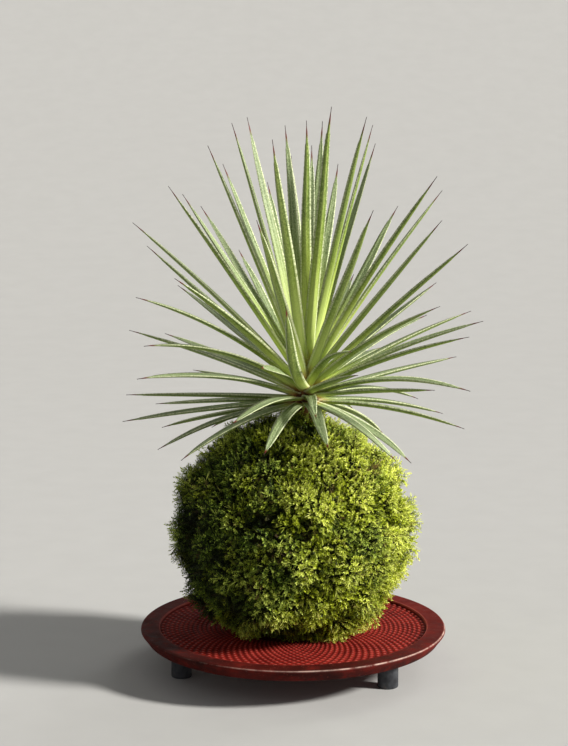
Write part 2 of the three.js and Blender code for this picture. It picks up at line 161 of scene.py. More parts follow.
class Nodes:
    """A material's node tree, with short calls for the nodes used here."""

    def __init__(self, name):
        self.material = bpy.data.materials.new(name)
        self.material.use_nodes = True
        self.tree = self.material.node_tree
        self.shader = self.tree.nodes["Principled BSDF"]

    def add(self, kind, settings=None, **inputs):
        node = self.tree.nodes.new(kind)
        for key, value in (settings or {}).items():
            setattr(node, key, value)
        for key, value in inputs.items():
            self.feed(node.inputs[key.replace("_", " ")], value)
        return node

    def feed(self, socket, value):
        if isinstance(value, bpy.types.NodeSocket):
            self.tree.links.new(value, socket)
        else:
            socket.default_value = value

    def attribute(self, name):
        """A stored vector, and its three parts."""
        vector = self.add("ShaderNodeAttribute", {"attribute_name": name}).outputs["Vector"]
        return vector, self.add("ShaderNodeSeparateXYZ", Vector=vector).outputs

    def math(self, operation, a, b, clamp=False):
        node = self.add("ShaderNodeMath", {"operation": operation, "use_clamp": clamp})
        self.feed(node.inputs[0], a)
        self.feed(node.inputs[1], b)
        return node.outputs[0]

    def times(self, a, b):
        return self.math("MULTIPLY", a, b)

    def noise(self, scale, detail, roughness=0.55, vector=None):
        """Noise over the piece's own coordinates, or over another vector."""
        vector = vector or self.add("ShaderNodeTexCoord").outputs["Object"]
        node = self.add("ShaderNodeTexNoise", Vector=vector, Scale=scale, Detail=detail, Roughness=roughness)
        return node.outputs["Fac"]

    def stretched_noise(self, vector, scales, detail, roughness):
        """Noise with a scale of its own along each axis."""
        stretched = self.add("ShaderNodeMapping", Vector=vector, Scale=scales).outputs[0]
        return self.noise(1.0, detail, roughness, stretched)

    def spread(self, value, low, high, to_low=0.0, to_high=1.0):
        ends = {"From_Min": low, "From_Max": high, "To_Min": to_low, "To_Max": to_high}
        return self.add("ShaderNodeMapRange", Value=value, **ends).outputs[0]

    def ramp(self, value, *stops):
        """Colours between stops, each a position and a colour as a screen shows it."""
        node = self.add("ShaderNodeValToRGB")
        elements = node.color_ramp.elements
        while len(elements) < len(stops):
            elements.new(0.5)
        for element, (position, colour) in zip(elements, stops):
            element.position = position
            element.color = srgb(*colour)
        self.feed(node.inputs[0], value)
        return node.outputs[0]

    def coats(self, colour, *coats):
        """A colour under coats, each the share that it covers and a colour."""
        for share, coat in coats:
            node = self.add("ShaderNodeMix", {"data_type": "RGBA"})
            for number, value in ((0, share), (6, colour), (7, coat)):
                self.feed(node.inputs[number], srgb(*value) if isinstance(value, tuple) else value)
            colour = node.outputs[2]
        return colour

    def bump(self, height, strength, distance, **under):
        settings = {"Strength": strength, "Distance": distance} | under
        return self.add("ShaderNodeBump", Height=height, **settings).outputs[0]

    def done(self, **sockets):
        for key, value in sockets.items():
            self.feed(self.shader.inputs[key.replace("_", " ")], value)
        return self.material


def srgb(*channels):
    """A colour from the 0 to 255 values that a screen shows."""
    shares = [value / 255 for value in channels]
    return [((s + 0.055) / 1.055) ** 2.4 if s > 0.04045 else s / 12.92 for s in shares] + [1.0]


def enamel_material():
    """Deep red enamel on cast metal: brown patina on the rim, bare edges, painted shade between the beads
    and round the rim, painted highlights on bead tops and edge.
    """
    n = Nodes("red_enamel")
    _, (relief, rim, edge) = n.attribute("plate_place")
    red = n.ramp(n.noise(90.0, 4.0), (0.28, (106, 18, 13)), (0.5, (134, 31, 23)), (0.72, (156, 47, 37)))
    patina = n.ramp(
        n.noise(120.0, 6.0, 0.65),
        (0.32, (28, 10, 7)), (0.5, (50, 15, 11)), (0.72, (104, 26, 19)),
    )
    # rim carries the rim's brown patina, with painted shade at the front left and below its edge.
    off_field = n.spread(rim, 0.0, 0.2)
    patchy = n.spread(n.noise(22.0, 5.0, 0.6), 0.38, 0.6, 0.7, 1.0)
    # Painted shade: the field darkens down between the beads.
    shade_between_beads = n.spread(relief, 0.0, 0.5, 0.65, 0.0)
    # Painted sheen: the bead tops are lighter.
    bead_top_sheen = n.times(n.spread(relief, 0.7, 1.0, 0.0, 0.5), n.math("SUBTRACT", 1.0, off_field))
    # The bare edge: real wear, drawn brightest at the front right as a painted highlight.
    edge_wear_and_highlight = n.times(edge, n.spread(n.noise(110.0, 5.0, 0.7), 0.36, 0.6))
    specks = n.spread(n.noise(900.0, 2.0), 0.66, 0.74)
    colour = n.coats(
        red,
        (off_field, n.coats(red, (0.5, (76, 20, 15)))),
        # Brown patina, with painted shade at the front left and below the edge.
        (n.times(rim, patchy), patina),
        # Painted shade between the beads.
        (shade_between_beads, (70, 13, 10)),
        # Painted sheen on the bead tops.
        (bead_top_sheen, (214, 116, 102)),
        # Edge wear with a painted highlight.
        (edge_wear_and_highlight, (232, 200, 184)),
        (n.times(specks, 0.3), (190, 104, 86)),
    )
    rough = n.spread(n.noise(240.0, 4.0), 0.3, 0.7, 0.58, 0.78)
    cast = n.bump(n.noise(700.0, 5.0, 0.6), 0.35, 0.0003)
    dents = n.bump(n.noise(60.0, 2.0), 0.3, 0.0006, Normal=cast)
    return n.done(Base_Color=colour, Roughness=rough, Normal=dents, Specular_IOR_Level=0.08)


def iron_material():
    """Dark grey cast iron with a fine sandy skin."""
    n = Nodes("foot_iron")
    grain = n.noise(220.0, 5.0)
    colour = n.ramp(grain, (0.3, (44, 45, 48)), (0.6, (74, 76, 80)), (0.85, (104, 96, 90)))
    rough = n.spread(n.noise(300.0, 3.0), 0.3, 0.7, 0.42, 0.7)
    skin = n.bump(n.noise(1400.0, 4.0, 0.6), 0.4, 0.0002)
    return n.done(Base_Color=colour, Roughness=rough, Normal=skin, Metallic=0.55)


def soil_material():
    """Moist dark soil in crumbs."""
    n = Nodes("moist_soil")
    place = n.add("ShaderNodeTexCoord").outputs["Object"]
    crumbs = n.add("ShaderNodeTexVoronoi", Vector=place, Scale=420.0).outputs["Distance"]
    grain = n.noise(500.0, 5.0, 0.7)
    colour = n.ramp(grain, (0.3, (24, 16, 11)), (0.6, (52, 36, 24)), (0.8, (88, 66, 44)))
    return n.done(Base_Color=colour, Roughness=0.92, Normal=n.bump(crumbs, 0.8, 0.0008))


def twine_material():
    """Jute twine stained green by the moss, its strands laid slantwise."""
    n = Nodes("jute_twine")
    place = n.add("ShaderNodeTexCoord").outputs["Object"]
    slant = {"bands_direction": "DIAGONAL"}
    strands = n.add("ShaderNodeTexWave", slant, Vector=place, Scale=900.0, Distortion=3.0)
    colour = n.ramp(n.noise(1500.0, 3.0), (0.3, (50, 56, 16)), (0.7, (100, 104, 40)))
    return n.done(Base_Color=colour, Roughness=0.95, Normal=n.bump(strands.outputs["Fac"], 0.6, 0.0003))


def moss_ground_material():
    """The shaded mat under the moss shoots, dark green with brown patches."""
    n = Nodes("moss_ground")
    colour = n.ramp(
        n.noise(330.0, 5.0, 0.7),
        (0.3, (12, 15, 3)), (0.52, (26, 32, 6)), (0.7, (44, 38, 14)), (0.85, (62, 72, 16)),
    )
    rough_skin = n.bump(n.noise(900.0, 4.0), 0.9, 0.0012)
    return n.done(Base_Color=colour, Roughness=1.0, Normal=rough_skin, Specular_IOR_Level=0.1)


def moss_shoot_material():
    """Moss shoots: dark at the foot, green along the stem, yellow-green at the tip, and some dead, with
    painted light and shade carried in their growth and variety.
    """
    n = Nodes("moss_shoots")
    _, (growth, variety, dryness) = n.attribute("shoot_place")
    deep = n.ramp(
        growth,
        (0.0, (6, 9, 1)), (0.25, (28, 40, 4)), (0.55, (88, 114, 14)), (0.88, (196, 212, 92)),
    )
    fresh = n.ramp(
        growth,
        (0.0, (12, 16, 2)), (0.22, (88, 100, 8)), (0.5, (198, 212, 36)), (0.85, (246, 250, 130)),
    )
    dead = n.ramp(growth, (0.0, (18, 14, 6)), (0.5, (74, 58, 24)), (1.0, (134, 110, 58)))
    colour = n.coats(deep, (n.spread(variety, 0.15, 0.85), fresh), (dryness, dead))
    rough = n.spread(variety, 0.0, 1.0, 0.62, 0.38)
    return n.done(Base_Color=colour, Roughness=rough, Specular_IOR_Level=0.26)


def leaf_material():
    """Agave leaf: a grey bloom above, greener below, a yellow base that is partly a painted glow, pale
    margins, a dark spine and a painted highlight along the keel.
    """
    n = Nodes("agave_leaf")
    place, _ = n.attribute("leaf_place")
    _, (share, variety, margin) = n.attribute("leaf_part")
    _, (upper, keel_highlight, upright) = n.attribute("leaf_face")
    lines = n.stretched_noise(place, (1.3, 0.02, 1.0), 2.0, 0.5)
    fine = n.stretched_noise(place, (5.0, 0.05, 1.0), 2.0, 0.5)
    bloom = n.stretched_noise(place, (0.35, 0.05, 1.0), 4.0, 0.6)
    grain = n.stretched_noise(place, (1.6, 1.1, 1.0), 3.0, 0.7)
    green = n.ramp(lines, (0.32, (26, 48, 2)), (0.5, (50, 78, 5)), (0.68, (102, 132, 22)))
    glaucous = n.ramp(lines, (0.32, (76, 96, 50)), (0.5, (122, 140, 90)), (0.68, (184, 198, 152)))
    middle = n.spread(margin, 0.1, 0.8, 0.3, 0.0)
    greyer = n.math("ADD", n.times(upper, 0.66), n.spread(bloom, 0.38, 0.66, -0.1, 0.24))
    greyer = n.math("ADD", greyer, n.times(middle, upper))
    greyer = n.math("ADD", greyer, n.spread(variety, 0.0, 1.0, -0.2, 0.2), clamp=True)
    below = n.math("SUBTRACT", 1.0, upper)
    speck = n.coats((184, 202, 116), (upper, (196, 206, 166)))
    streak = n.coats((172, 194, 88), (upper, (188, 200, 148)))
    yellow = n.coats((196, 212, 74), (variety, (156, 182, 58)))
    # The pale yellow base is partly the leaf's own colour and partly a painted glow of light through it,
    # which reaches further up upright leaves.
    near_base = n.math("DIVIDE", share, n.spread(upright, 0.0, 0.9, 0.3, 1.0))
    scar = n.spread(n.math("ADD", share, n.times(fine, 0.08)), 0.08, 0.16, 0.9, 0.0)
    inside = n.times(n.spread(margin, 0.5, 0.68), n.spread(margin, 0.68, 0.8, 1.0, 0.0))
    teeth = n.stretched_noise(place, (0.0, 1.5, 1.0), 1.0, 0.5)
    warm = n.spread(n.math("ADD", share, n.times(fine, 0.03)), 0.962, 0.988)
    colour = n.coats(
        green,
        (n.times(middle, below), (150, 176, 58)),
        (greyer, glaucous),
        # Painted highlight: a pale line along the keel.
        (n.times(keel_highlight, 0.5), (192, 208, 126)),
        (n.spread(grain, 0.5, 0.62, 0.0, 0.5), speck),
        (n.spread(grain, 0.36, 0.48, 0.55, 0.0), (40, 62, 8)),
        (n.spread(fine, 0.35, 0.65, 0.0, 0.25), streak),
        # Yellow base: own colour and a painted glow.
        (n.spread(near_base, 0.12, 0.66, 0.75, 0.0), yellow),
        (n.spread(near_base, 0.14, 0.46, 0.8, 0.0), (226, 240, 148)),
        (scar, (172, 104, 48)),
        (n.times(inside, 0.25), (48, 72, 14)),
        (n.times(n.spread(margin, 0.7, 0.88), n.spread(teeth, 0.4, 0.56, 0.25, 0.9)), (234, 238, 194)),
        (warm, (104, 36, 26)),
        (n.spread(share, 0.985, 1.005), (42, 22, 20)),
    )
    rough = n.spread(fine, 0.3, 0.7, 0.42, 0.62)
    ridges = n.bump(grain, 0.5, 0.0002, Normal=n.bump(lines, 0.5, 0.0003))
    skin = n.bump(fine, 0.3, 0.0001, Normal=ridges)
    return n.done(Base_Color=colour, Roughness=rough, Normal=skin, Specular_IOR_Level=0.28)


def stem_material():
    """The old leaf scars round the short stem, from dark brown to a dull yellow, and papery."""
    n = Nodes("leaf_scars")
    colour = n.ramp(
        n.noise(380.0, 5.0, 0.65),
        (0.32, (48, 26, 14)), (0.5, (104, 56, 32)), (0.64, (140, 98, 50)), (0.8, (158, 146, 74)),
    )
    return n.done(Base_Color=colour, Roughness=0.8, Normal=n.bump(n.noise(800.0, 4.0), 0.6, 0.0006))


def floor_material():
    n = Nodes("pale_floor")
    tone = n.ramp(n.noise(40.0, 3.0), (0.3, (185, 184, 181)), (0.7, (188, 187, 184)))
    return n.done(Base_Color=tone, Roughness=0.85)


# Plate: the rim, the sunk field and its rings of long beads

FIELD_RADIUS = 70
FIELD_DEPTH = 1.8
FIELD_STEP = 0.48  # between the field's rings of points
RING_PITCH = 2.45
FIRST_RING_RADIUS = FIELD_RADIUS - 1.45
BEADS_IN_RING = 90
COLUMNS_IN_BEAD = 7
BEAD_RINGS = 17
BEAD_HEIGHT = 0.6
BEAD_HALF_WIDTH = 1.04
BEAD_SHARE = 0.34  # half a bead's length, as a share of the pitch along its ring
FIELD_Z = RIM_Z - FIELD_DEPTH
LOW_ROUNDING, RIM_ROUNDING, LIP_ROUNDING = 1.4, 1.3, 0.7
UNDERCUT = 3.0  # how far the underside's edge lies inside the rim's
UNDERSIDE_DISC, FIELD_DISC = 22, 12  # the plain discs in the middle, below and above
RIM_WAVE, RIM_RIPPLE = 0.05, 0.04
WALL = 0.3  # what the field's wall takes up on either side of its radius
PATINA_AND_SHADE_FADE = 1.5
BARE_EDGE_INSET = 0.4
EDGE_WEAR_AND_HIGHLIGHT_TURN = math.radians(-46)  # the rim's bare edge is worn and has a painted highlight, both most at the front right
RIM_PATINA_AND_SHADE_TURN = math.radians(-115)  # and its brown patina is darkest at the front left, which is painted shade
FOOT_LOW_ROUNDING, FOOT_TOP_ROUNDING = 0.8, 0.3
FOOT_COLUMNS = 64


def bead_height(radius, angle):
    """The height of the beads over the field. Neighbouring rings are set half a bead apart."""
    ring = np.round((FIRST_RING_RADIUS - radius) / RING_PITCH)
    turn = angle * BEADS_IN_RING / (2 * math.pi) + 0.5 * (ring % 2)
    along = (turn - np.round(turn)) / BEAD_SHARE
    out = (radius - (FIRST_RING_RADIUS - ring * RING_PITCH)) / BEAD_HALF_WIDTH
    dome = np.clip(1 - along ** 2 - out ** 2, 0, 1) ** 0.5
    return np.where((ring >= 0) & (ring < BEAD_RINGS), dome * BEAD_HEIGHT, 0.0)


def plate_bump(r, angle, z):
    """The beads on the field, and a rim that isn't quite even."""
    beads = np.where(np.abs(z - FIELD_Z) < 0.01, bead_height(r, angle), 0.0)
    wave = RIM_WAVE * np.sin(5 * angle + 0.4 * r)
    ripple = RIM_RIPPLE * np.sin(11 * angle + 1.3) * np.cos(0.5 * r)
    return beads + np.where(z > RIM_Z - 0.5, wave + ripple, 0.0)


def plate_profile():
    """Along the underside, round the edge and over the rim, then down the wall and in along the field."""
    low, rim, lip = LOW_ROUNDING, RIM_ROUNDING, LIP_ROUNDING
    profile = [(UNDERSIDE_DISC, UNDERSIDE_Z), (PLATE_RADIUS - 6, UNDERSIDE_Z)]
    profile += arc((PLATE_RADIUS - UNDERCUT - low, UNDERSIDE_Z + low), low, -90, -20, 5)
    profile += arc((PLATE_RADIUS - rim, RIM_Z - rim), rim, -8, 90, 8)
    profile += [(r, RIM_Z) for r in np.linspace(PLATE_RADIUS - rim - 1, FIELD_RADIUS + lip + 1, 5)]
    profile += arc((FIELD_RADIUS + lip, RIM_Z - lip), lip, 90, 180, 5)
    profile += [(FIELD_RADIUS - 0.05, FIELD_Z + 0.1)]  # the wall's foot
    inmost = FIRST_RING_RADIUS - BEAD_RINGS * RING_PITCH
    profile += [(r, FIELD_Z) for r in np.arange(FIELD_RADIUS - WALL, inmost, -FIELD_STEP)]
    return profile + [(FIELD_DISC, FIELD_Z)]


def plate_wear_and_painted_light(x, y, z):
    """How far up a bead, on the brown patina and painted shade, and on the bare edge with its painted
    highlight each point is, from 0 to 1.
    """
    radius = np.hypot(x, y)
    turn = np.arctan2(y, x)
    relief = np.where(radius < FIELD_RADIUS + WALL, np.clip((z - FIELD_Z) / BEAD_HEIGHT, 0, 1), 1.0)
    # Painted shade: the rim's brown patina is heavier towards the front left.
    brown = np.clip(0.62 + 0.38 * np.cos(turn - RIM_PATINA_AND_SHADE_TURN), 0.35, 1)
    rim_patina_and_shade = np.clip((radius - FIELD_RADIUS - WALL) / PATINA_AND_SHADE_FADE, 0, 1) * brown
    # Painted shade: the rim's side darkens below its edge.
    shade_below_edge = np.clip((RIM_Z - 1.6 - z) / PATINA_AND_SHADE_FADE, 0, 1) * (radius > FIELD_RADIUS)
    # The edge's wear and its painted highlight are strongest at the front right, where the light falls.
    wear_and_highlight_weight = np.clip(0.4 + 0.6 * np.cos(turn - EDGE_WEAR_AND_HIGHLIGHT_TURN), 0.15, 1) ** 2.6
    from_edge = (radius - PLATE_RADIUS + BARE_EDGE_INSET) ** 2 + (z - RIM_Z + BARE_EDGE_INSET) ** 2
    return vectors(x.shape, relief, np.maximum(rim_patina_and_shade, shade_below_edge), np.exp(-from_edge / 0.08) * wear_and_highlight_weight)


def make_plate():
    piece = turned("plate_body", plate_profile(), BEADS_IN_RING * COLUMNS_IN_BEAD, plate_bump)
    points = np.empty(len(piece.data.vertices) * 3, np.float32)
    piece.data.vertices.foreach_get("co", points)
    set_vectors(piece, "plate_place", plate_wear_and_painted_light(*(points.reshape(-1, 3) / MM - HOME).T))
    finish_piece(piece, enamel_material(), "plate", "plate")


def make_feet():
    iron = iron_material()
    for number in (1, 2, 3):
        low, high = box_mm(f"foot_{number}")
        x, y, _ = (low + high) / 2 - HOME
        radius = (high[0] - low[0]) / 2
        profile = arc((radius - FOOT_LOW_ROUNDING, FOOT_LOW_ROUNDING), FOOT_LOW_ROUNDING, -90, 0, 6)
        top = (radius - FOOT_TOP_ROUNDING, UNDERSIDE_Z - FOOT_TOP_ROUNDING)
        profile += arc(top, FOOT_TOP_ROUNDING, 0, 90, 4)
        piece = turned(f"foot_peg_{number}", profile, FOOT_COLUMNS)
        shift(piece, x, y)
        finish_piece(piece, iron, "feet", f"foot_{number}")


# Moss: a lumpy mat, with shoots that fan out of each cushion

BALL_HALF_WIDTH, BALL_TOP_HEIGHT, BALL_BOTTOM_HEIGHT = 61.5, 58.0, 60.0
TOP_SQUARENESS, BOTTOM_SQUARENESS = 1.9, 2.3
LUMP_HEIGHT = 1.7
CROWN_DIP, CROWN_DIP_FLOOR, CROWN_DIP_RADIUS = 0.5, 4, 24.0
MAT_UNDER_CAD = 6.6  # how far the mat lies under the CAD's surface; the shoots fill the rest
MAT_SUBDIVISIONS = 5
CUSHIONS = 480
CUSHION_RISE = 3.8
CUSHION_SEED, TRAIT_SEED = 5, 6
HOLLOW_DEPTH, HOLLOW_SEED = 4.2, 31
UNEVENNESS, UNEVEN_SEED = 1.5, 32
# Where the moss has died back, seen from the front: right of the ball's middle, above it, and the radius.
DEAD_SPOTS = [(7, 8, 6), (-6, -3, 6), (39, 33, 3.5), (-15, 23, 4), (-21, -18, 4)]
# Tufts that stand proud of the ball's outline: right of its middle, above it, and how far they stand out.
PROUD_TUFTS = [(61, 26, 4.5), (-66, -19, 4.5), (-60, 18, 3.5), (-66, -3, 3)]
TUFT_REACH = 0.1


def smoothstep(value, low, high):
    t = np.clip((value - low) / (high - low), 0, 1)
    return t * t * (3 - 2 * t)


def ball_radius(d):
    level = np.hypot(d[:, 0], d[:, 1]) / BALL_HALF_WIDTH
    upright = np.abs(d[:, 2]) / np.where(d[:, 2] > 0, BALL_TOP_HEIGHT, BALL_BOTTOM_HEIGHT)
    squareness = np.where(d[:, 2] > 0, TOP_SQUARENESS, BOTTOM_SQUARENESS)
    return (level ** squareness + upright ** squareness) ** (-1 / squareness)


def lumps(d):
    x, y, z = d.T
    broad = np.sin(6.1 * x + 1.7 * z + 0.4) * np.cos(5.3 * y - 2.2 * z)
    return broad + 0.6 * np.sin(11 * z + 4.7 * x) * np.cos(9.4 * x - 7.9 * y + 1.3)


def crown_dip(d, radius):
    away = np.hypot(d[:, 0] * radius - CROWN_OFFSET_X, d[:, 1] * radius)
    dip = CROWN_DIP * (1 - smoothstep(away, CROWN_DIP_FLOOR, CROWN_DIP_RADIUS))
    return np.where(d[:, 2] > 0, dip, 0.0)


def even_directions(count, rng, jitter):
    """Directions spread evenly over a sphere by a golden-angle spiral, then moved a little at random."""
    i = np.arange(count) + 0.5
    z = 1 - 2 * i / count
    angle = np.radians(GOLDEN_ANGLE) * i
    level = np.sqrt(1 - z * z)
    d = np.stack([level * np.cos(angle), level * np.sin(angle), z], -1)
    d += rng.normal(0, jitter / math.sqrt(count), d.shape)
    return d / np.linalg.norm(d, axis=1, keepdims=True)


def swell(d, frequency, seed):
    """Smooth noise over the directions, mostly from -1 to 1: the sum of ten waves."""
    rng = np.random.default_rng(seed)
    waves = rng.normal(size=(10, 3))
    waves *= frequency / np.linalg.norm(waves, axis=1, keepdims=True) * rng.uniform(0.6, 1.4, (10, 1))
    return np.sin(d @ waves.T + rng.uniform(0, 6.28, 10)).sum(1) / 3.2


cushion_centres = even_directions(CUSHIONS, np.random.default_rng(CUSHION_SEED), 1.3)
# Three numbers from 0 to 1 for each cushion: its size, its colour and splay, and whether it stands proud.
cushion_traits = np.random.default_rng(TRAIT_SEED).uniform(0, 1, (CUSHIONS, 3))


def nearest_cushion(d):
    """Each direction's cushion, and how far it is from that cushion's middle, from 0 to about 1."""
    closeness = d @ cushion_centres.T
    reach = math.sqrt(4 * math.pi / CUSHIONS / 2.0)
    return closeness.argmax(1), np.arccos(np.clip(closeness.max(1), -1, 1)) / reach


def mat_radius(d):
    """How far the mat is from the ball's centre: domed over cushions, with hollows and proud tufts."""
    radius = ball_radius(d)
    index, away = nearest_cushion(d)
    dome = CUSHION_RISE * (1 - np.clip(away, 0, 1.2) ** 2) * (0.2 + 1.1 * cushion_traits[index, 0])
    hollows = -HOLLOW_DEPTH * smoothstep(swell(d, 11.0, HOLLOW_SEED), 0.45, 1.3)
    uneven = UNEVENNESS * swell(d, 15.0, UNEVEN_SEED)
    for right, up, rise in PROUD_TUFTS:
        middle = np.array([right, 0, up]) / math.hypot(right, up)
        uneven = uneven + rise * np.exp(-((d - middle) ** 2).sum(1) / TUFT_REACH ** 2)
    return radius + LUMP_HEIGHT * lumps(d) + dome + hollows + uneven - MAT_UNDER_CAD - crown_dip(d, radius)


def make_mat():
    form = bmesh.new()
    bmesh.ops.create_icosphere(form, subdivisions=MAT_SUBDIVISIONS, radius=1)
    d = np.array([v.co for v in form.verts])
    d /= np.linalg.norm(d, axis=1, keepdims=True)
    faces = np.array([[v.index for v in f.verts] for f in form.faces])
    form.free()
    points = d * mat_radius(d)[:, None]
    points[:, 2] = np.maximum(points[:, 2] + BALL_Z, SEAT_Z)
    finish_piece(new_mesh("moss_mat", points, [faces]), moss_ground_material(), "moss", "moss_cover")


# Growth on the mat

# How many of each kind there are, how high they are, and how far they splay out of their cushion.
SHOOTS = 12500, 4.4, 0.75
FRONDS = 6600, 4.7, 0.9
BRISTLES = 4000, 5.3, 0.8
FORMS_OF_A_KIND, FORM_SEED = 12, 11
FIRST_GROWTH_SEED = 12
MOST_TRIANGLES = 150000  # in a piece
STEM_CLEARANCE = 5.0
PROUD_TRAIT, PROUD_GAIN = 0.93, 1.35
PATCH_SEED, DEAD_SEED, FINE_PATCH_SEED, SHADE_SEED = 21, 22, 23, 24
DARKEST, LIGHTEST = 0.32, 1.3


def kite(root, heading, across, length, width, drop):
    """A slender four-cornered leaflet, bent down a little at its tip."""
    middle = root + heading * length * 0.42 + [0, 0, drop]
    tip = root + heading * length - [0, 0, drop]
    return [root, middle + across * width, tip, middle - across * width]


def shoot_template(rng, leaflets=15):
    """An upright shoot, 1 high along +Z: slender leaflets in a spiral up a thin stem."""
    points, growth = [], []
    lean = rng.uniform(-0.2, 0.2, 2)
    for i in range(leaflets):
        t = 0.1 + 0.88 * i / (leaflets - 1)
        turn = math.radians(GOLDEN_ANGLE) * i + rng.uniform(-0.4, 0.4)
        out = np.array([math.cos(turn), math.sin(turn), 0])
        across = np.array([-out[1], out[0], 0])
        rise = 0.3 + 0.95 * t ** 2 + rng.uniform(-0.15, 0.15)
        heading = out * math.cos(rise) + [0, 0, math.sin(rise)]
        root = np.array([lean[0] * t * t, lean[1] * t * t, t])
        points += kite(root, heading, across, (0.36 - 0.12 * t) * rng.uniform(0.75, 1.2), 0.055, 0.03)
        reach = min(0.9, max(0.0, t * 0.8 + rng.normal(0, 0.2)))
        growth += [reach * 0.55, reach + 0.1, min(1.0, reach + 0.28), reach + 0.1]
    return np.array(points), np.array(growth)


def frond_template(rng, pairs=9):
    """A feathery frond that rises along +Z, arches over towards +X and ends about 1 from its foot."""
    points, growth = [], []
    arch = rng.uniform(0.9, 1.5)
    sway = rng.uniform(-0.35, 0.35)

    def stem(t):
        angle = arch * t
        return np.array([(1 - math.cos(angle)) / arch, sway * t * t, math.sin(angle) / arch])

    for i in range(pairs):
        t = 0.16 + 0.8 * i / (pairs - 1)
        forward = stem(t + 0.02) - stem(t - 0.02)
        forward /= np.linalg.norm(forward)
        for side in (-1, 1):
            opening = rng.uniform(0.6, 1.2)
            aside = [0, side * math.sin(opening), rng.uniform(-0.35, 0.5)]
            heading = forward * math.cos(opening) + aside
            heading /= np.linalg.norm(heading)
            across = np.cross(heading, [0, 0, 1])
            across /= np.linalg.norm(across) + 1e-9
            length = 0.3 * math.sin(math.pi * (0.22 + 0.68 * t)) * rng.uniform(0.8, 1.2)
            points += kite(stem(t), heading, across, length, 0.04, 0.02)
            reach = min(0.95, max(0.05, 0.15 + 0.65 * t + rng.normal(0, 0.22)))
            growth += [reach * 0.8, reach, min(1.0, reach + 0.2), reach]
    for low, high in ((0.0, 0.35), (0.35, 0.7), (0.7, 1.05)):
        root, tip = stem(low), stem(high)
        points += [root, (root + tip) / 2 + [0, 0.025, 0], tip, (root + tip) / 2 - [0, 0.025, 0]]
        growth += [low * 0.7, low * 0.8, min(1.0, high), low * 0.8]
    return np.array(points), np.array(growth)


def bristle_template(rng):
    """Three pale needles that rise from one foot."""
    points, growth = [], []
    for _ in range(3):
        heading = np.array([rng.uniform(-0.2, 0.7), rng.uniform(-0.4, 0.4), 0.8])
        foot, across = np.array([0, 0, 0.3]), np.array([0, 1.0, 0])
        points += kite(foot, heading, across, rng.uniform(0.7, 1.0), 0.02, 0.0)
        growth += [0.5, 1.0, 1.0, 1.0]
    return np.array(points), np.array(growth)


def kite_triangles(corners):
    """The two triangles of each kite, for so many corners."""
    first = np.arange(0, corners, 4)[:, None]
    return np.vstack([first + [0, 1, 2], first + [0, 2, 3]])


def frames_along(axis, towards):
    """Rotations with the axis as third column, and a first column that leans towards a direction."""
    side = unit(towards - axis * (towards * axis).sum(1, keepdims=True))
    return np.stack([side, np.cross(axis, side), axis], -1)


def unit(rows):
    return rows / (np.linalg.norm(rows, axis=1, keepdims=True) + 1e-9)


def from_stem(root):
    return np.hypot(root[:, 0] - CROWN_OFFSET_X, root[:, 1])


def crown_gain(root):
    """How many times its usual height the moss has: more at the stem, and less a little past it."""
    away = from_stem(root)
    gain = 1.8 - 1.0 * smoothstep(away, 8, 15) + 0.2 * smoothstep(away, 22, 28)
    return np.where(root[:, 2] > 0, gain, 1.0)


def moss_colour(d, index):
    """How yellow the moss is by its place and its cushion, from about 0 for deep green to 1. It is yellower
    on the right and greener at the top left, which is painted light and shade.
    """
    # Painted light and shade: yellower on the lit right, deeper green at the top left under the leaves.
    lit_side_tint = 0.42 * d[:, 0] - 0.2 * smoothstep(0.6 * d[:, 2] - d[:, 0], 0.5, 1.0)
    patch = 0.24 * swell(d, 5.0, PATCH_SEED) + 0.2 * swell(d, 13.0, FINE_PATCH_SEED) + lit_side_tint
    return 0.5 + patch + 0.8 * (cushion_traits[index, 1] - 0.5)


def moss_painted_light(d):
    """Painted light and shade on the moss: lighter where it stands out and on the right, darker low down and
    on the left.
    """
    stands_out = mat_radius(d) - ball_radius(d) + MAT_UNDER_CAD
    lit = 0.8 + 0.1 * stands_out + 0.16 * d[:, 0] + 0.16 * np.minimum(d[:, 2], 0)
    lit = lit + 0.12 * swell(d, 17.0, SHADE_SEED)
    lit = lit - 0.24 * smoothstep(-d[:, 2] - 0.5 * d[:, 0], 0.45, 0.95)
    lit = lit - 0.1 * smoothstep(0.3 * d[:, 2] - d[:, 0], 0.3, 0.9)
    return np.clip(lit, DARKEST, LIGHTEST)


def dead_share(root, stray):
    """How dead the moss is at a place: 1 in the middle of a dead spot and here and there at the back."""
    share = np.zeros(len(root))
    for right, up, reach in DEAD_SPOTS:
        distance = np.hypot(root[:, 0] - right, root[:, 2] - up)
        share = np.maximum(share, np.where(root[:, 1] < 0, 1 - distance / reach, 0))
    back = smoothstep(swell(root / 60.0, 8.0, DEAD_SEED), 1.1, 1.9) * (root[:, 1] > 0)
    return smoothstep(np.maximum(share, back) + stray, 0.25, 0.75)


